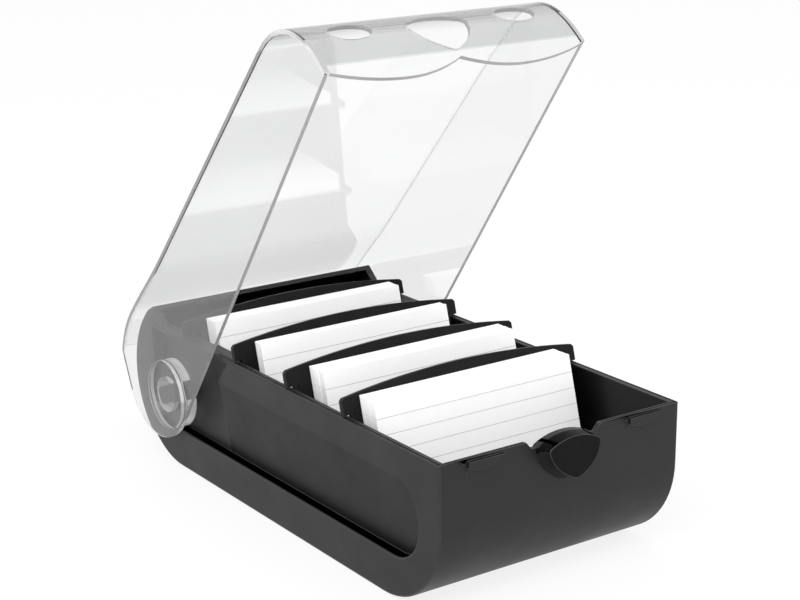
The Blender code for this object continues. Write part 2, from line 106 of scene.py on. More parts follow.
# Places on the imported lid, in the closed lid's own frame: u to its rear and n up from the hinge axis
HINGE_AT = (0.090503, 0.037397)
LID_OPEN = math.radians(48)
CHEEK_INNER = 0.0647
CHEEK_OUTER = 0.0666
BOSS_REACH = 0.022
BEND_REAR = -0.197
BEND_LOW = 0.0056
BEND_SEEN = -0.2165
BEND_START = 0.0115
BEND_HALF_AXES = (0.0326, 0.0393)
BEND_POWER = 2 / 2.4
LIP_FRONT = -0.229
HOLES_FRONT = -0.205
HOLES_HALF = 0.06
HOLES_N = (0.008, 0.038)
WALL_INSIDE = 0.0449
HUMP = 0.0020
HUMP_RUN = 0.050
WALL_END = math.radians(60)
WALL_END_FROM = (0.018, 0.03)
BEND_POINTS, HUMP_POINTS, ARC_POINTS, LINE_STEPS = 9, 6, 5, 400

# Shares of a face's unit normal that tell the slots and edges apart
STRAIGHT = 0.9
NOSE_FORWARD = 0.7
LEDGE_UP = 0.5
OUTWARD = 0.5
RECESS_UP = -0.1
STEM_UP = -0.15
CORNER_SIDE, CORNER_ACROSS = 0.98, 0.05
RECESS_SIDE = 0.95
CHEEK_SIDE = 0.99
RIM_SIDE = 0.3
CHEEK_EDGE_UP = 0.3
LIP_UP = -0.75
HOLE_REAR = 0.05
END_SIDE, END_OUT = 0.1, 0.3
CREASE = 0.05  # radians, the least turn at the recess's top

# Slots of the tray's, the plates' and the lid's materials
OUTSIDE, POLISHED_AND_SHADED, SHADE, RUBBED_AND_HIGHLIT, RECESS, NOSE, NOSE_STEM_SHADE = range(7)
PLATE_EDGE_HIGHLIGHT = 1
WALL, CHEEK, CUT_EDGE, BEND, FROSTED_HIGHLIGHT, STRIP = range(6)

# Moulded finishes, in the order of the slots: share of the piece's colour and the material's values. Shares
# above 1 paint a highlight on rounded edges. Shares below 1 paint shade, and on the nose's face a dark
# reflection.
Finish = namedtuple("Finish", "name share roughness specular grain rub dust")
TRAY_FINISHES = (
    Finish("tray_grained", 1.0, 0.48, 0.36, 0.35, 0.3, 0.15),
    # the tray's inside: a smoother finish, and 0.4 of the tray's colour as painted shade
    Finish("tray_polished_and_shaded", 0.4, 0.36, 0.19, 0.15, 0.3, 0.0),
    # painted shade: 0.05 of the tray's colour and no specular, for the ledges under the recesses and the
    # rim's groove
    Finish("tray_shade", 0.05, 0.9, 0.0, 0.1, 0.0, 0.0),
    # painted highlight: the rounded edges get 1.7 times the tray's colour, with real scuffs
    Finish("tray_rubbed_and_highlit", 1.7, 0.40, 0.42, 0.3, 0.5, 0.0),
    Finish("tray_recess", 1.0, 0.48, 0.23, 0.35, 0.3, 0.0),
    # the nose's face: a smoother finish, and 0.4 of the tray's colour as a painted dark reflection
    Finish("tray_nose", 0.4, 0.40, 0.10, 0.15, 0.3, 0.0),
    # painted shade on the nose's top and sides: 0.4 of the tray's colour and little specular
    Finish("tray_nose_stem_shade", 0.4, 0.44, 0.035, 0.15, 0.3, 0.0),
)
PLATE_FINISHES = (
    Finish("plate_face", 1.0, 0.42, 0.10, 0.2, 0.3, 0.05),
    # painted highlight: the plates' rounded edges get 1.6 times the plate colour
    Finish("plate_edge", 1.6, 0.40, 0.20, 0.2, 0.4, 0.0),
)
MOTTLE = (0.82, 1.18)           # the mottle's two shares of the colour
MOTTLE_RANGE = {"From Min": 0.3, "From Max": 0.7}
ROUGHNESS_SPREAD = (-0.05, 0.07)
SCUFF_GAIN, SCUFF_LIFT = 1.8, 0.003
DUST_COLOUR = (0.10, 0.10, 0.097, 1.0)
GRAIN_DEPTH = 0.00004

# The lid's finishes
PLASTIC_IOR = 1.5
CLEAR = {"roughness": 0.008, "transmission": 1.0}
CUT = {"roughness": 0.45, "transmission": 0.12}
# painted highlight: a hazy, light finish for the hinge bosses' rims and the cheek's band along the bend
HAZY_HIGHLIGHT = {"roughness": 0.25, "transmission": 0.5}
# painted shade: a grey band on the cheek's outer face where the top wall behind it is seen edge-on
STRIP_SHADE_SHARE = 0.68              # of the cut edge's colour
# the tint towards the depth colour is partly the longer path through the wall and partly a painted reflection
# of a darker room
TINT_FROM, TINT_FULL, BEND_TINT_FULL = 0.52, 0.88, 0.78  # slants between which the tint grows
LAMPLIGHT_THROUGH = (0.93, 0.93, 0.93, 1.0)
CLEAR_WAVES = (0.04, 0.0002)    # strength and depth of the relief

# The cards' finish
PAPER_TONES = (0.975, 1.02)     # the fibre's two shares of the colour
PAPER_FIBRE = (0.25, 0.00002)   # strength and depth of the relief
RULE_FACING = -0.4              # a face's normal along Y, below which it is printed

# Stage
FLOOR_HALF, FLOOR_HEIGHT = 4.0, -0.0002
KEY_LAMP = {"place": (-1.3, -0.9, 1.5), "aim": (0.0, 0.0, 0.08), "size": (1.2, 1.2)}
FILL_LAMP = {"place": (0.1, -1.3, 1.75), "aim": (0.0, 0.0, 0.06), "size": (1.4, 0.9)}
CLEAR_BOUNCES, GLOSSY_BOUNCES = 24, 16
CAMERA_PLACE = (-0.4493, -0.6646, 0.3304)
CAMERA_ANGLES = (-34.575, 16.399, -0.730)  # degrees: azimuth, pitch and roll
FOCAL_PIXELS, PHOTO_PIXELS = 1827.0, 800
SENSOR = 36.0  # mm
NEAR_CLIP = 0.01


class BoxPlastics(bpy.types.PropertyGroup):
    tray_colour: FloatVectorProperty(
        name="Tray colour", description="Colour of the moulded tray", subtype='COLOR',
        size=3, min=0.0, max=1.0, default=(0.0085, 0.0085, 0.0087))
    plate_colour: FloatVectorProperty(
        name="Plate colour", description="Colour of the support plates", subtype='COLOR',
        size=3, min=0.0, max=1.0, default=(0.009, 0.009, 0.0092))
    lid_colour: FloatVectorProperty(
        name="Lid colour", description="Tint of the clear lid", subtype='COLOR',
        size=3, min=0.0, max=1.0, default=(0.985, 0.987, 0.988))
    # partly painted reflection: the grey that the clear lid takes at grazing slants
    lid_depth_and_reflection_colour: FloatVectorProperty(
        name="Lid depth colour", description="Tint of the clear lid where it's seen along its wall",
        subtype='COLOR', size=3, min=0.0, max=1.0, default=(0.16, 0.162, 0.165))
    # painted shade: the cheeks are tinted darker than the top wall
    cheek_shade_colour: FloatVectorProperty(
        name="Cheek colour", description="Tint of the lid's two cheeks", subtype='COLOR',
        size=3, min=0.0, max=1.0, default=(0.92, 0.922, 0.925))
    # painted shade: the lid's rounded front is tinted darker than its top
    bend_shade_colour: FloatVectorProperty(
        name="Bend colour", description="Tint of the lid's rounded front", subtype='COLOR',
        size=3, min=0.0, max=1.0, default=(0.70, 0.702, 0.705))
    edge_colour: FloatVectorProperty(
        name="Lid edge colour", description="Colour of the lid's cut edges", subtype='COLOR',
        size=3, min=0.0, max=1.0, default=(0.40, 0.402, 0.405))
    # painted highlight: the light outline round the hinge bosses
    hinge_highlight_colour: FloatVectorProperty(
        name="Hinge colour", description="Tint of the rims of the lid's hinge bosses", subtype='COLOR',
        size=3, min=0.0, max=1.0, default=(0.75, 0.752, 0.755))
    corner_round: FloatProperty(
        name="Corner radius", description="Radius of the tray's long outer corners",
        unit='LENGTH', default=0.0009, min=0.0, max=0.002)
    edge_round: FloatProperty(
        name="Edge radius", description="Radius that softens the other moulded edges",
        unit='LENGTH', default=0.0003, min=0.0, max=0.002)


class BoxCards(bpy.types.PropertyGroup):
    paper_colour: FloatVectorProperty(
        name="Card colour", description="Colour of the card", subtype='COLOR',
        size=3, min=0.0, max=1.0, default=(0.95, 0.95, 0.946))
    line_colour: FloatVectorProperty(
        name="Rule colour", description="Colour of the printed rules", subtype='COLOR',
        size=3, min=0.0, max=1.0, default=(0.50, 0.50, 0.51))
    header: FloatProperty(
        name="Header", description="Space above the first rule", unit='LENGTH', default=0.00775)
    spacing: FloatProperty(
        name="Rule spacing", description="Distance between two rules", unit='LENGTH', default=0.0071)
    line_width: FloatProperty(
        name="Rule width", description="Width of a printed rule", unit='LENGTH', default=0.00026)
    sheet_pitch: FloatProperty(
        name="Sheet pitch", description="Distance between neighbouring cards in a pack",
        unit='LENGTH', default=0.00034)
    seed: IntProperty(name="Seed", description="Seed of the packs' small unevenness", default=7)


class BoxStage(bpy.types.PropertyGroup):
    floor_colour: FloatVectorProperty(
        name="Floor colour", description="Colour of the floor", subtype='COLOR',
        size=3, min=0.0, max=1.0, default=(0.86, 0.86, 0.86))
    sky_level: FloatProperty(
        name="Room light", description="Strength of the even light from the room", default=0.95)
    key_power: FloatProperty(
        name="Key light", description="Power of the large lamp on the left", unit='POWER', default=20.0)
    fill_power: FloatProperty(
        name="Fill light", description="Power of the lamp in front", unit='POWER', default=12.0)
    shadow_share: FloatProperty(
        name="Shadow share", description="How much of the floor's shadow the picture keeps",
        subtype='FACTOR', default=0.16, min=0.0, max=1.0)


# Node building

def add_node(tree, kind, inputs=None, **settings):
    """One shader node with its settings and its plain input values."""
    node = tree.nodes.new(kind)
    for key, value in settings.items():
        setattr(node, key, value)
    for key, value in (inputs or {}).items():
        node.inputs[key].default_value = value
    return node


def wire(tree, start, out, end, entry):
    """Link one output to one input."""
    tree.links.new(start.outputs[out], end.inputs[entry])


def maths(tree, operation, first, second):
    """A Math node as a (node, output) pair. Each operand is a number or such a pair."""
    node = add_node(tree, "ShaderNodeMath", operation=operation)
    for index, value in enumerate((first, second)):
        if isinstance(value, tuple):
            wire(tree, *value, node, index)
        else:
            node.inputs[index].default_value = value
    return (node, 0)


def new_group(name, inputs, outputs):
    """An empty node group with named sockets."""
    group = bpy.data.node_groups.new(name, 'ShaderNodeTree')
    for label, kind, value in inputs:
        socket = group.interface.new_socket(label, in_out='INPUT', socket_type=kind)
        if value is not None:
            socket.default_value = value
    for label, kind in outputs:
        group.interface.new_socket(label, in_out='OUTPUT', socket_type=kind)
    return group, group.nodes.new("NodeGroupInput"), group.nodes.new("NodeGroupOutput")


def moulded_grain():
    """Fine grain with a broad mottle."""
    name = "moulded_grain"
    if name in bpy.data.node_groups:
        return bpy.data.node_groups[name]
    inputs = (("Vector", 'NodeSocketVector', None), ("Grain Scale", 'NodeSocketFloat', 1800.0),
              ("Mottle Scale", 'NodeSocketFloat', 30.0))
    outputs = (("Height", 'NodeSocketFloat'), ("Mottle", 'NodeSocketFloat'))
    group, start, end = new_group(name, inputs, outputs)
    fine = add_node(group, "ShaderNodeTexNoise", {"Detail": 3.0, "Roughness": 0.6})
    broad = add_node(group, "ShaderNodeTexNoise", {"Detail": 4.0, "Roughness": 0.55})
    wire(group, start, "Vector", fine, "Vector")
    wire(group, start, "Grain Scale", fine, "Scale")
    wire(group, start, "Vector", broad, "Vector")
    wire(group, start, "Mottle Scale", broad, "Scale")
    wire(group, fine, "Fac", end, "Height")
    wire(group, broad, "Fac", end, "Mottle")
    return group


def handling_wear():
    """Scuffs in patches, and a trace of dust on faces that look up."""
    name = "handling_wear"
    if name in bpy.data.node_groups:
        return bpy.data.node_groups[name]
    inputs = (("Vector", 'NodeSocketVector', None), ("Rub", 'NodeSocketFloat', 0.5),
              ("Dust", 'NodeSocketFloat', 0.2))
    outputs = (("Wear", 'NodeSocketFloat'), ("Dust Mask", 'NodeSocketFloat'))
    group, start, end = new_group(name, inputs, outputs)
    geometry = add_node(group, "ShaderNodeNewGeometry")
    patch = add_node(group, "ShaderNodeTexNoise", {"Scale": 90.0, "Detail": 5.0})
    wire(group, start, "Vector", patch, "Vector")
    scuff = add_node(group, "ShaderNodeMapRange", {"From Min": 0.52, "From Max": 0.78})
    wire(group, patch, "Fac", scuff, "Value")
    rubbed = maths(group, 'MULTIPLY', (scuff, 0), (start, "Rub"))
    wire(group, *rubbed, end, "Wear")
    split = add_node(group, "ShaderNodeSeparateXYZ")
    wire(group, geometry, "Normal", split, 0)
    upward = add_node(group, "ShaderNodeMapRange", {"From Min": 0.6, "From Max": 1.0})
    wire(group, split, "Z", upward, "Value")
    dust = maths(group, 'MULTIPLY', (upward, 0), (patch, "Fac"))
    dust = maths(group, 'MULTIPLY', dust, (start, "Dust"))
    wire(group, *dust, end, "Dust Mask")
    return group


def ruled_lines():
    """Mask of evenly spaced printed rules, 1 on a rule, on the faces that look forward."""
    name = "ruled_lines"
    if name in bpy.data.node_groups:
        return bpy.data.node_groups[name]
    inputs = (("Vector", 'NodeSocketVector', None), ("Top", 'NodeSocketFloat', 0.0757),
              ("Header", 'NodeSocketFloat', 0.0), ("Spacing", 'NodeSocketFloat', 0.007),
              ("Width", 'NodeSocketFloat', 0.0003))
    group, start, end = new_group(name, inputs, (("Mask", 'NodeSocketFloat'),))
    split = add_node(group, "ShaderNodeSeparateXYZ")
    wire(group, start, "Vector", split, 0)
    drop = maths(group, 'SUBTRACT', (start, "Top"), (split, "Z"))
    down = maths(group, 'DIVIDE', drop, math.cos(CARD_LEAN))
    below = maths(group, 'SUBTRACT', down, (start, "Header"))
    half = maths(group, 'MULTIPLY', (start, "Width"), 0.5)
    shifted = maths(group, 'ADD', below, half)
    phase = maths(group, 'MODULO', shifted, (start, "Spacing"))
    inside = maths(group, 'LESS_THAN', phase, (start, "Width"))
    after = maths(group, 'GREATER_THAN', shifted, 0.0)
    both = maths(group, 'MULTIPLY', inside, after)
    geometry = add_node(group, "ShaderNodeNewGeometry")
    facing = add_node(group, "ShaderNodeSeparateXYZ")
    wire(group, geometry, "Normal", facing, 0)
    front = maths(group, 'LESS_THAN', (facing, "Y"), RULE_FACING)
    mask = maths(group, 'MULTIPLY', both, front)
    wire(group, *mask, end, "Mask")
    return group


def new_material(name):
    """A material, its nodes, its Principled BSDF and a node with the object coordinates."""
    mat = bpy.data.materials.new(name)
    mat.use_nodes = True
    tree = mat.node_tree
    shader = tree.nodes["Principled BSDF"]
    place = add_node(tree, "ShaderNodeTexCoord")
    return mat, tree, shader, place


def add_tint(tree, first=None, second=None):
    """A colour Mix node with its fixed colours."""
    node = add_node(tree, "ShaderNodeMix", data_type='RGBA')
    for entry, colour in (("A", first), ("B", second)):
        if colour is not None:
            node.inputs[entry].default_value = (*colour[:3], 1.0)
    return node


def add_bump(tree, texture, shader, strength, distance):
    """Relief from a texture's height."""
    bump = add_node(tree, "ShaderNodeBump", {"Strength": strength, "Distance": distance})
    wire(tree, texture, "Height", bump, "Height")
    wire(tree, bump, "Normal", shader, "Normal")


def moulded_plastic(finish, piece_colour):
    """Moulded plastic: mottled colour, scuffs, a trace of dust and a fine grain."""
    colour = tuple(finish.share * c for c in piece_colour)
    mat, tree, shader, place = new_material(finish.name)
    shader.inputs["IOR"].default_value = PLASTIC_IOR
    shader.inputs["Specular IOR Level"].default_value = finish.specular
    texture = add_node(tree, "ShaderNodeGroup", node_tree=moulded_grain())
    wire(tree, place, "Object", texture, "Vector")
    values = {"Rub": finish.rub, "Dust": finish.dust}
    wear = add_node(tree, "ShaderNodeGroup", values, node_tree=handling_wear())
    wire(tree, place, "Object", wear, "Vector")
    base = add_tint(tree, *([share * c for c in colour] for share in MOTTLE))
    wire(tree, texture, "Mottle", base, "Factor")
    rubbed = add_tint(tree, second=[SCUFF_GAIN * c + SCUFF_LIFT for c in colour])
    wire(tree, wear, "Wear", rubbed, "Factor")
    wire(tree, base, "Result", rubbed, "A")
    dusty = add_tint(tree, second=DUST_COLOUR)
    wire(tree, wear, "Dust Mask", dusty, "Factor")
    wire(tree, rubbed, "Result", dusty, "A")
    wire(tree, dusty, "Result", shader, "Base Color")
    smoothest, roughest = (finish.roughness + change for change in ROUGHNESS_SPREAD)
    spread = add_node(tree, "ShaderNodeMapRange", {**MOTTLE_RANGE, "To Min": smoothest, "To Max": roughest})
    wire(tree, texture, "Mottle", spread, "Value")
    wire(tree, spread, 0, shader, "Roughness")
    add_bump(tree, texture, shader, finish.grain, GRAIN_DEPTH)
    return mat


def clear_plastic(name, colour, depth_and_reflection_colour, roughness, transmission, inner_colour=None,
                  darkest=TINT_FULL):
    """Clear moulded plastic: darker where seen along its wall, partly from the longer path and partly as a
    painted reflection of a darker room, and it lets lamplight through.

    The inner colour, where given, is the one that a frosted surface shows from inside the plastic. The tint
    is darkest from the slant given last.
    """
    mat, tree, glass, place = new_material(name)
    output = tree.nodes["Material Output"]
    glass.inputs["Transmission Weight"].default_value = transmission
    glass.inputs["IOR"].default_value = PLASTIC_IOR
    # painted reflection, with some of the longer path: the tint darkens as the wall is seen more slantwise
    slant = add_node(tree, "ShaderNodeLayerWeight", {"Blend": 0.5})
    grazing = add_node(tree, "ShaderNodeMapRange", {"From Min": TINT_FROM, "From Max": darkest})
    wire(tree, slant, "Facing", grazing, "Value")
    tint = add_tint(tree, colour, depth_and_reflection_colour)
    wire(tree, grazing, 0, tint, "Factor")
    if inner_colour is not None:
        side = add_node(tree, "ShaderNodeNewGeometry")
        sided = add_tint(tree, second=inner_colour)
        wire(tree, side, "Backfacing", sided, "Factor")
        wire(tree, tint, "Result", sided, "A")
        tint = sided
    wire(tree, tint, "Result", glass, "Base Color")
    texture = add_node(tree, "ShaderNodeGroup", {"Grain Scale": 45.0, "Mottle Scale": 14.0},
                       node_tree=moulded_grain())
    wire(tree, place, "Object", texture, "Vector")
    values = {**MOTTLE_RANGE, "To Min": 0.5 * roughness, "To Max": 1.5 * roughness}
    spread = add_node(tree, "ShaderNodeMapRange", values)
    wire(tree, texture, "Mottle", spread, "Value")
    wire(tree, spread, 0, glass, "Roughness")
    add_bump(tree, texture, glass, *CLEAR_WAVES)
    through = add_node(tree, "ShaderNodeBsdfTransparent", {"Color": LAMPLIGHT_THROUGH})
    path = add_node(tree, "ShaderNodeLightPath")
    mixed = add_node(tree, "ShaderNodeMixShader")
    wire(tree, path, "Is Shadow Ray", mixed, 0)
    wire(tree, glass, "BSDF", mixed, 1)
    wire(tree, through, "BSDF", mixed, 2)
    wire(tree, mixed, 0, output, "Surface")
    return mat


def card_paper(name, cards, top):
    """White card: faint fibre in colour and height, printed rules on the faces that look forward."""
    mat, tree, shader, place = new_material(name)
    shader.inputs["Roughness"].default_value = 0.85
    shader.inputs["Specular IOR Level"].default_value = 0.25
    fibre = add_node(tree, "ShaderNodeGroup", {"Grain Scale": 2600.0, "Mottle Scale": 240.0},
                     node_tree=moulded_grain())
    wire(tree, place, "Object", fibre, "Vector")
    tone = add_tint(tree, *([min(1.0, share * c) for c in cards.paper_colour] for share in PAPER_TONES))
    wire(tree, fibre, "Mottle", tone, "Factor")
    values = {"Top": top, "Header": cards.header, "Spacing": cards.spacing, "Width": cards.line_width}
    rules = add_node(tree, "ShaderNodeGroup", values, node_tree=ruled_lines())
    wire(tree, place, "Object", rules, "Vector")
    printed = add_tint(tree, second=cards.line_colour)
    wire(tree, rules, "Mask", printed, "Factor")
    wire(tree, tone, "Result", printed, "A")
    wire(tree, printed, "Result", shader, "Base Color")
    add_bump(tree, fibre, shader, *PAPER_FIBRE)
    return mat


# Mesh building

def mesh_object(name, mesh, body, nodes, materials):
    """Link a finished mesh, seat it on its body and let it stand for its nodes."""
    item = bpy.data.objects.new(name, mesh)
    bpy.context.scene.collection.objects.link(item)
    mesh.materials.clear()
    for mat in materials:
        mesh.materials.append(mat)
    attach(item, body)
    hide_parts(*nodes)
    return item


def merged_copy(node):
    """A copy of a node's surface with its corners merged and its flat areas joined."""
    bm = bmesh.new()
    bm.from_mesh(frame["nodes"][node].data)
    bmesh.ops.remove_doubles(bm, verts=bm.verts, dist=MERGE)
    bmesh.ops.dissolve_limit(bm, angle_limit=FLAT, verts=bm.verts, edges=bm.edges)
    return bm


def finished_mesh(bm, name):
    """The worked surface as a mesh."""
    mesh = bpy.data.meshes.new(name)
    bm.to_mesh(mesh)
    bm.free()
    return mesh


def face_places(mesh):
    """Every face's centre and normal as two arrays."""
    count = len(mesh.polygons)
    normals = np.empty(3 * count)
    centres = np.empty(3 * count)
    mesh.polygons.foreach_get("normal", normals)
    mesh.polygons.foreach_get("center", centres)
    return centres.reshape(-1, 3), normals.reshape(-1, 3)


def weigh_edges(bm, weight_of, is_crease=lambda edge: False):
    """Give the long sharp edges their shares of the bevel's width.

    The shading breaks at the sharp edges that get none, and at the creases.
    """
    layer = bm.edges.layers.float.new("bevel_weight_edge")
    for edge in bm.edges:
        if edge.calc_face_angle(0.0) < SHARP:
            edge.smooth = not is_crease(edge)
        else:
            weight = 0.0 if edge.calc_length() < SHORTEST else weight_of(edge)
            edge.smooth = weight != 0.0
            edge[layer] = weight


def soften(item, radius, slot=-1):
    """Round the weighted edges, give them a slot of their own and shade the rest evenly."""
    item.data.shade_smooth()
    bevel = item.modifiers.new("rounded_edges", 'BEVEL')
    bevel.width = radius
    bevel.segments = 2
    bevel.limit_method = 'WEIGHT'
    bevel.use_clamp_overlap = False
    bevel.material = slot
    weld = item.modifiers.new("joined_points", 'WELD')
    weld.merge_threshold = MERGE
    even = item.modifiers.new("even_shading", 'WEIGHTED_NORMAL')
    even.weight = SHADING_WEIGHT
    even.keep_sharp = True


def body_of(node):
    """Body that a node belongs to."""
    for body, nodes in frame["record"]["behaviour"]["bodies"].items():
        if node in nodes:
            return body
    raise ValueError("no body holds " + node)


def sheet_stack(count, low, high, depth, run, seed):
    """Leaning cards side by side: card k's foot is at low.y + k * pitch, and its top stands run further back.

    Each card's sides and top stand back by a small seeded amount.
    """
    rng = np.random.default_rng(seed)
    pitch = depth / count
    thick = CARD_FILL * pitch
    foot = low.y + pitch * np.arange(count)
    left = low.x + CARD_WANDER * rng.random(count)
    right = high.x - CARD_WANDER * rng.random(count)
    top = high.z - TOP_WANDER * CARD_WANDER * rng.random(count)
    base = np.full(count, low.z)
    lean = run * (top - low.z) / (high.z - low.z)
    corners = np.stack([
        np.stack([left, foot, base], 1), np.stack([right, foot, base], 1),
        np.stack([right, foot + thick, base], 1), np.stack([left, foot + thick, base], 1),
        np.stack([left, foot + lean, top], 1), np.stack([right, foot + lean, top], 1),
        np.stack([right, foot + lean + thick, top], 1), np.stack([left, foot + lean + thick, top], 1),
    ], 1).reshape(-1, 3)
    faces = np.array([(0, 3, 2, 1), (4, 5, 6, 7), (0, 1, 5, 4), (1, 2, 6, 5), (2, 3, 7, 6), (3, 0, 4, 7)])
    faces = (faces[None] + 8 * np.arange(count)[:, None, None]).reshape(-1, 4)
    return corners, faces


def mesh_from(name, corners, faces):
    """A mesh from whole arrays of corners and faces."""
    mesh = bpy.data.meshes.new(name)
    mesh.from_pydata(corners.tolist(), [], faces.tolist())
    mesh.validate()
    return mesh


def tray_slots(centres, normals):
    """Slot of every tray face. The lighter one is scuffed plastic with a painted highlight, and it is left to
    the rounded edges.
    """
    x, y, z = np.abs(centres[:, 0]), centres[:, 1], centres[:, 2]
    forward, upward = -normals[:, 1], normals[:, 2]
    inwards = -(normals[:, 0] * centres[:, 0] + normals[:, 1] * y + upward * (z - RIM)) > 0
    inside = inwards & (x < CAVITY_HALF) & (np.abs(y) < CAVITY_END) & (z > FLOOR_TOP) & (z < BELOW_RIM)
    rear = (forward > STRAIGHT) & (np.abs(y - CAVITY_END) < WALL_REACH)
    nose = (x < NOSE_HALF) & (y < TRAY_FRONT - 2 * NEAR) & (z > NOSE_FOOT)
    stem = nose & (forward < NOSE_FORWARD)
    ledge = (upward > LEDGE_UP) & (x > RECESS_FLOOR) & (np.abs(z - LEDGE) < LEDGE_REACH)
    groove = (upward > STRAIGHT) & (z > GROOVE_FLOOR[0]) & (z < GROOVE_FLOOR[1])
    outwards = normals[:, 0] * centres[:, 0] > OUTWARD * x
    recess = outwards & (upward < RECESS_UP) & (x > RECESS_FLOOR - WALL_REACH) & (z > LEDGE)
    slots = np.full(len(x), OUTSIDE, dtype=np.int32)
    slots[recess] = RECESS
    # painted shade: the inner faces and the rear wall get the darker, smoother finish
    slots[inside | rear] = POLISHED_AND_SHADED
    # painted dark reflection: the nose's face is darker than the front wall
    slots[nose] = NOSE
    # painted shade: the nose's top and sides are darker, except the faces that look down, which keep the
    # grained finish
    slots[stem] = NOSE_STEM_SHADE
    slots[stem & (upward < STEM_UP)] = OUTSIDE
    # painted shade: the ledges under the recesses and the rim's groove are made near black where shade falls
    slots[ledge | groove] = SHADE
    return slots


def edge_middle(edge):
    """Middle of an edge: its distance from the mid plane, its place along the tray and its height."""
    middle = (edge.verts[0].co + edge.verts[1].co) / 2
    return abs(middle.x), middle.y, middle.z


def tray_edge(edge):
    """Bevel share of a tray edge: all of it on the long outer corners, a third elsewhere.

    None in the rim's groove, on the low inner steps before the rear wall and round the foot of the nose, and
    less where the recess runs out.
    """
    x, y, z = edge_middle(edge)
    in_groove = abs(z - RIM) < GROOVE_REACH and GROOVE[0] < x < GROOVE[1]
    on_steps = x < CAVITY_HALF and y > STEPS_FRONT and z < STEPS_TOP
    at_nose = x < NOSE_HALF and abs(y - TRAY_FRONT) < NEAR and z < NOTCH - NEAR
    if in_groove or on_steps or at_nose:
        return 0.0
    sides = sorted(abs(face.normal.x) for face in edge.link_faces)
    at_corner = sides[0] < CORNER_ACROSS and sides[-1] > CORNER_SIDE
    share = 1.0 if at_corner and x > OUTER_CORNER and z < BELOW_RIM else THIRD_SHARE
    if x > RECESS_FLOOR and abs(y) < RECESS_REACH and z < RECESS_LIMIT:
        share *= min(1.0, max(0.0, (RECESS_TOP - z) / RECESS_FADE))
    return share


def recess_top(edge):
    """Whether an edge is the shallow upper one of a side recess."""
    x, y, z = edge_middle(edge)
    if x < RECESS_FLOOR or abs(y) > RECESS_REACH or abs(z - RECESS_TOP) > RECESS_TOP_REACH:
        return False
    least = min(abs(face.normal.x) for face in edge.link_faces)
    return edge.calc_face_angle(0.0) > CREASE and least > RECESS_SIDE


class BOX_OT_tray(bpy.types.Operator):
    """Dress the moulded tray"""
    bl_idname = "card_box.tray"
    bl_label = "Tray"

    def execute(self, context):
        plastics = context.scene.box_plastics
        materials = [moulded_plastic(finish, plastics.tray_colour) for finish in TRAY_FINISHES]
        bm = merged_copy("base_tray")
        weigh_edges(bm, tray_edge, recess_top)
        mesh = finished_mesh(bm, "tray_shell")
        tray = mesh_object("tray_shell", mesh, "tray", ["base_tray"], materials)
        mesh.polygons.foreach_set("material_index", tray_slots(*face_places(mesh)))
        # the rounded edges take the lighter finish, a painted highlight along them
        soften(tray, plastics.corner_round, RUBBED_AND_HIGHLIT)
        return {'FINISHED'}


class BOX_OT_plates(bpy.types.Operator):
    """Dress the support plates"""
    bl_idname = "card_box.plates"
    bl_label = "Support plates"

    def execute(self, context):
        plastics = context.scene.box_plastics
        materials = [moulded_plastic(finish, plastics.plate_colour) for finish in PLATE_FINISHES]
        for pack in PACKS:
            node = "support_plate_%d" % pack
            bm = merged_copy(node)
            weigh_edges(bm, lambda edge: 1.0)
            mesh = finished_mesh(bm, "plate_%d" % pack)
            plate = mesh_object("plate_%d" % pack, mesh, body_of(node), [node], materials)
            # the rounded edges take the lighter finish, a painted highlight along them
            soften(plate, plastics.edge_round, PLATE_EDGE_HIGHLIGHT)
        return {'FINISHED'}


def along_lid(places, turn_only=False):
    """Places or directions in the closed lid's own frame, as u and n."""
    y, z = places[:, 1], places[:, 2]
    if not turn_only:
        y, z = y - HINGE_AT[0], z - HINGE_AT[1]
    ahead, upright = math.cos(LID_OPEN), math.sin(LID_OPEN)
    return y * ahead - z * upright, y * upright + z * ahead


def wall_line():
    """Inner line of the bend and the top wall in the closed lid's frame, from the lip to the wall's end.

    Bend: u = rear - a sin(t)^p, n = low + b cos(t)^p. Hump: n = flat + h (1 + cos(pi s)) / 2, then an arc.
    """
    turn = np.linspace(math.pi / 2, 0.0, BEND_POINTS)
    wide, high = BEND_HALF_AXES
    bend = np.stack([BEND_REAR - wide * np.sin(turn) ** BEND_POWER,
                     BEND_LOW + high * np.cos(turn) ** BEND_POWER], 1)
    share = np.linspace(1.0, 0.0, HUMP_POINTS)
    hump = np.stack([-HUMP_RUN * share, WALL_INSIDE + HUMP * (1 + np.cos(math.pi * share)) / 2], 1)
    turn = np.linspace(math.pi / 2, WALL_END, ARC_POINTS)[1:]
    arc = (WALL_INSIDE + HUMP) * np.stack([np.cos(turn), np.sin(turn)], 1)
    return np.concatenate([bend, hump, arc])


def open_place(u, n):
    """Where a place in the closed lid's frame lies in the scene, with the lid open."""
    return Vector((0.0, u * math.cos(LID_OPEN) + n * math.sin(LID_OPEN) + HINGE_AT[0],
                   -u * math.sin(LID_OPEN) + n * math.cos(LID_OPEN) + HINGE_AT[1]))


def part_off_edges(bm):
    """Cut the rims at the cheeks' inner planes, and the cheeks' outer faces along the wall's inner line."""
    for side in (-1, 1):
        bmesh.ops.bisect_plane(bm, geom=bm.verts[:] + bm.edges[:] + bm.faces[:], dist=MERGE,
                               plane_co=(side * CHEEK_INNER, 0.0, 0.0), plane_no=(1.0, 0.0, 0.0))
    line = [open_place(u, n) for u, n in wall_line()]
    for first, second in zip(line, line[1:]):
        outer = [face for face in bm.faces if abs(abs(face.calc_center_median().x) - CHEEK_OUTER) < MERGE]
        around = {part for face in outer for part in (*face.verts, *face.edges, face)}
        across = (second - first).cross(Vector((1.0, 0.0, 0.0))).normalized()
        bmesh.ops.bisect_plane(bm, geom=list(around), dist=MERGE, plane_co=first, plane_no=across)


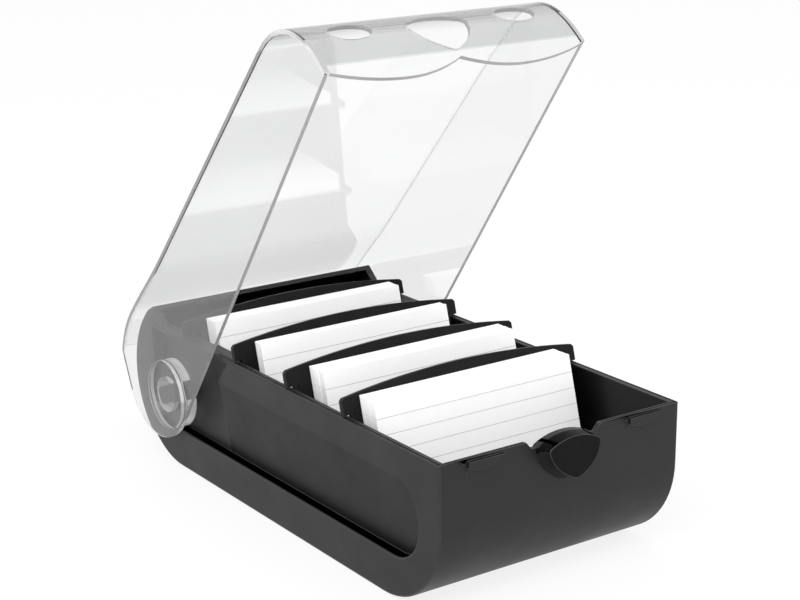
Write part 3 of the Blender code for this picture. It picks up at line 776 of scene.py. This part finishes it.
def beyond_line(u, n):
    """Whether places lie outside the wall's inner line, as seen along the hinge axis."""
    line = wall_line()
    place = np.arctan2(n, u)
    fine = np.linspace(0.0, len(line) - 1.0, LINE_STEPS)
    index = np.arange(len(line))
    along = np.stack([np.interp(fine, index, line[:, 0]), np.interp(fine, index, line[:, 1])], 1)
    turn = np.arctan2(along[:, 1], along[:, 0])
    reach = np.hypot(along[:, 0], along[:, 1])
    order = np.argsort(turn)
    limit = np.interp(place, turn[order], reach[order], left=np.inf, right=np.inf)
    return np.hypot(u, n) > limit


def lid_slots(centres, normals):
    """Slot of every lid face. A cheek's strip beyond the wall's inner line is a painted shade band, and along
    the bend it is a frosted painted highlight.
    """
    x = np.abs(centres[:, 0])
    across = np.abs(normals[:, 0])
    u, n = along_lid(centres)
    nu, nn = along_lid(normals, turn_only=True)
    reach = np.hypot(u, n)
    rim = across < RIM_SIDE
    cheek = (across > CHEEK_SIDE) & (x > CHEEK_INNER - NEAR) & (x < CHEEK_OUTER + NEAR)
    cheek_edge = rim & (x > CHEEK_INNER + NEAR) & (x < CHEEK_OUTER - NEAR) & (nn < CHEEK_EDGE_UP)
    lip = (nn < LIP_UP) & (u < LIP_FRONT) & (n < BEND_LOW)
    hole = (x < HOLES_HALF) & (u < HOLES_FRONT) & (n > HOLES_N[0]) & (n < HOLES_N[1])
    hole &= np.abs(nu) < HOLE_REAR
    wall_end = (across < END_SIDE) & (np.abs(nu * u + nn * n) < END_OUT * reach)
    wall_end &= (u > WALL_END_FROM[0]) & (n > WALL_END_FROM[1])
    slots = np.full(len(x), WALL, dtype=np.int32)
    slots[rim & (u < BEND_SEEN) & (n > BEND_START)] = BEND
    slots[cheek] = CHEEK
    slots[cheek_edge | lip | hole | wall_end] = CUT_EDGE
    # painted highlight: the boss rims get the light, hazy finish that outlines them
    slots[rim & (reach < BOSS_REACH)] = FROSTED_HIGHLIGHT
    # painted shade band on the cheek's outer face, beyond the wall's inner line
    strip = cheek & (x > CHEEK_OUTER - NEAR) & beyond_line(u, n)
    slots[strip & (u > BEND_REAR)] = STRIP
    slots[strip & (u <= BEND_REAR)] = FROSTED_HIGHLIGHT
    return slots


class BOX_OT_lid(bpy.types.Operator):
    """Dress the clear lid"""
    bl_idname = "card_box.lid"
    bl_label = "Clear lid"

    def execute(self, context):
        plastics = context.scene.box_plastics
        clear, depth = plastics.lid_colour, plastics.lid_depth_and_reflection_colour
        cut, hinge = plastics.edge_colour, plastics.hinge_highlight_colour
        strip = tuple(STRIP_SHADE_SHARE * c for c in cut)
        materials = [clear_plastic("lid_wall", clear, depth, **CLEAR),
                     # painted shade: a darker copy of the clear plastic for the cheeks
                     clear_plastic("lid_cheek_shaded", plastics.cheek_shade_colour, depth, **CLEAR),
                     clear_plastic("lid_edge", cut, cut, **CUT, inner_colour=clear),
                     # painted shade on the rounded front, which also darkens sooner at slants
                     clear_plastic("lid_bend_shaded", plastics.bend_shade_colour, depth, **CLEAR,
                                   darkest=BEND_TINT_FULL),
                     # painted highlight: the light hazy finish for the boss rims and the band along the bend
                     clear_plastic("lid_hinge", hinge, hinge, **HAZY_HIGHLIGHT),
                     # painted shade: the grey band along the cheek where the top wall is seen edge-on
                     clear_plastic("lid_shade_strip", strip, strip, **CUT, inner_colour=clear)]
        bm = merged_copy("clear_lid")
        part_off_edges(bm)
        weigh_edges(bm, lambda edge: 0.0)
        mesh = finished_mesh(bm, "lid_shell")
        slots = lid_slots(*face_places(mesh))
        lid = mesh_object("lid_shell", mesh, "lid", ["clear_lid"], materials)
        mesh.polygons.foreach_set("material_index", slots)
        soften(lid, plastics.edge_round)
        return {'FINISHED'}


class BOX_OT_cards(bpy.types.Operator):
    """Dress the packs of ruled cards"""
    bl_idname = "card_box.cards"
    bl_label = "Ruled cards"

    def execute(self, context):
        cards = context.scene.box_cards
        run = CARD_HEIGHT * math.sin(CARD_LEAN)
        for pack in PACKS:
            node = "card_stack_%d" % pack
            low, high = (Vector(corner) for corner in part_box(node))
            mat = card_paper("card_paper_%d" % pack, cards, high.z)
            depth = high.y - low.y - run
            count = round(depth / cards.sheet_pitch)
            corners, faces = sheet_stack(count, low, high, depth, run, cards.seed + pack)
            mesh = mesh_from("card_pack_%d" % pack, corners, faces)
            mesh_object("card_pack_%d" % pack, mesh, body_of(node), [node], [mat])
            for kind in SINGLE_CARDS:
                single = frame["nodes"]["%s_%d" % (kind, pack)]
                single.data.materials.clear()
                single.data.materials.append(mat)
        return {'FINISHED'}


def area_lamp(name, power, place, aim, size):
    """A large soft lamp."""
    data = bpy.data.lights.new(name, 'AREA')
    data.shape = 'RECTANGLE'
    data.size, data.size_y = size
    data.energy = power
    lamp = bpy.data.objects.new(name, data)
    bpy.context.scene.collection.objects.link(lamp)
    lamp.location = place
    lamp.rotation_euler = (Vector(aim) - Vector(place)).to_track_quat('-Z', 'Y').to_euler()
    lamp.visible_camera = False


def seen_directly(tree):
    """1 for rays that the camera, a reflection or clear plastic sends."""
    path = add_node(tree, "ShaderNodeLightPath")
    seen = maths(tree, 'MAXIMUM', (path, "Is Camera Ray"), (path, "Is Glossy Ray"))
    return maths(tree, 'MAXIMUM', seen, (path, "Is Transmission Ray"))


class BOX_OT_stage(bpy.types.Operator):
    """Set the floor, the lamps and the camera"""
    bl_idname = "card_box.stage"
    bl_label = "Stage and camera"

    def execute(self, context):
        stage = context.scene.box_stage
        self.floor(stage)
        self.room(stage)
        area_lamp("key_lamp", stage.key_power, **KEY_LAMP)
        area_lamp("fill_lamp", stage.fill_power, **FILL_LAMP)
        self.camera()
        context.scene.view_settings.view_transform = 'Standard'
        light_paths = context.scene.cycles
        light_paths.max_bounces = CLEAR_BOUNCES
        light_paths.transmission_bounces = CLEAR_BOUNCES
        light_paths.glossy_bounces = GLOSSY_BOUNCES
        return {'FINISHED'}

    def floor(self, stage):
        """A wide pale floor that keeps a share of the object's shadow."""
        signs = np.array([(-1, -1), (1, -1), (1, 1), (-1, 1)])
        corners = np.column_stack([FLOOR_HALF * signs, np.full(4, FLOOR_HEIGHT)])
        mesh = mesh_from("floor", corners, np.array([(0, 1, 2, 3)]))
        floor = bpy.data.objects.new("floor", mesh)
        bpy.context.scene.collection.objects.link(floor)
        mat, tree, lit, place = new_material("pale_floor")
        tree.nodes.remove(place)
        lit.inputs["Base Color"].default_value = (*stage.floor_colour, 1.0)
        lit.inputs["Roughness"].default_value = 0.9
        lit.inputs["Specular IOR Level"].default_value = 0.0
        white = add_node(tree, "ShaderNodeEmission", {"Color": (1.0, 1.0, 1.0, 1.0), "Strength": 1.0})
        pale = add_node(tree, "ShaderNodeMixShader")
        pale.inputs[0].default_value = 1.0 - stage.shadow_share
        wire(tree, lit, "BSDF", pale, 1)
        wire(tree, white, "Emission", pale, 2)
        chosen = add_node(tree, "ShaderNodeMixShader")
        seen = seen_directly(tree)
        wire(tree, *seen, chosen, 0)
        wire(tree, lit, "BSDF", chosen, 1)
        wire(tree, pale, 0, chosen, 2)
        wire(tree, chosen, 0, tree.nodes["Material Output"], "Surface")
        mesh.materials.append(mat)

    def room(self, stage):
        """A white room that lights evenly and shows white behind the object."""
        world = bpy.data.worlds.new("white_room")
        bpy.context.scene.world = world
        world.use_nodes = True
        tree = world.node_tree
        sky = tree.nodes["Background"]
        sky.inputs["Color"].default_value = (1.0, 1.0, 1.0, 1.0)
        level = add_node(tree, "ShaderNodeMix", {"A": stage.sky_level, "B": 1.0}, data_type='FLOAT')
        seen = seen_directly(tree)
        wire(tree, *seen, level, "Factor")
        wire(tree, level, "Result", sky, "Strength")

    def camera(self):
        """The photograph's view: its place, direction and roll, and a long lens."""
        azimuth, pitch, roll = (math.radians(angle) for angle in CAMERA_ANGLES)
        ahead = Vector((-math.sin(azimuth) * math.cos(pitch), math.cos(azimuth) * math.cos(pitch),
                        -math.sin(pitch)))
        right = Vector((math.cos(azimuth), math.sin(azimuth), 0.0))
        up = right.cross(ahead)
        across = math.cos(roll) * right + math.sin(roll) * up
        upright = -math.sin(roll) * right + math.cos(roll) * up
        data = bpy.data.cameras.new("camera")
        data.sensor_width = SENSOR
        data.lens = FOCAL_PIXELS * SENSOR / PHOTO_PIXELS
        data.clip_start = NEAR_CLIP
        camera = bpy.data.objects.new("camera", data)
        bpy.context.scene.collection.objects.link(camera)
        turn = Matrix((across, upright, -ahead)).transposed().to_4x4()
        camera.matrix_world = Matrix.Translation(CAMERA_PLACE) @ turn
        bpy.context.scene.camera = camera


class BOX_PT_panel(bpy.types.Panel):
    """Buttons and sizes of the index card box"""
    bl_label = "Index card box"
    bl_space_type = 'VIEW_3D'
    bl_region_type = 'UI'
    bl_category = "Card box"

    def draw(self, context):
        for operator in OPERATORS:
            self.layout.operator(operator.bl_idname)
        for settings in (context.scene.box_plastics, context.scene.box_cards, context.scene.box_stage):
            for name in settings.__annotations__:
                self.layout.prop(settings, name)


OPERATORS = (BOX_OT_stage, BOX_OT_tray, BOX_OT_plates, BOX_OT_cards, BOX_OT_lid)
CLASSES = (BoxPlastics, BoxCards, BoxStage, *OPERATORS, BOX_PT_panel)


def register():
    for item in CLASSES:
        bpy.utils.register_class(item)
    bpy.types.Scene.box_plastics = PointerProperty(type=BoxPlastics)
    bpy.types.Scene.box_cards = PointerProperty(type=BoxCards)
    bpy.types.Scene.box_stage = PointerProperty(type=BoxStage)


def unregister():
    del bpy.types.Scene.box_stage
    del bpy.types.Scene.box_cards
    del bpy.types.Scene.box_plastics
    for item in reversed(CLASSES):
        bpy.utils.unregister_class(item)


def main():
    register()
    bpy.ops.card_box.stage()
    bpy.ops.card_box.tray()
    bpy.ops.card_box.plates()
    bpy.ops.card_box.cards()
    bpy.ops.card_box.lid()


if __name__ == "__main__":
    main()
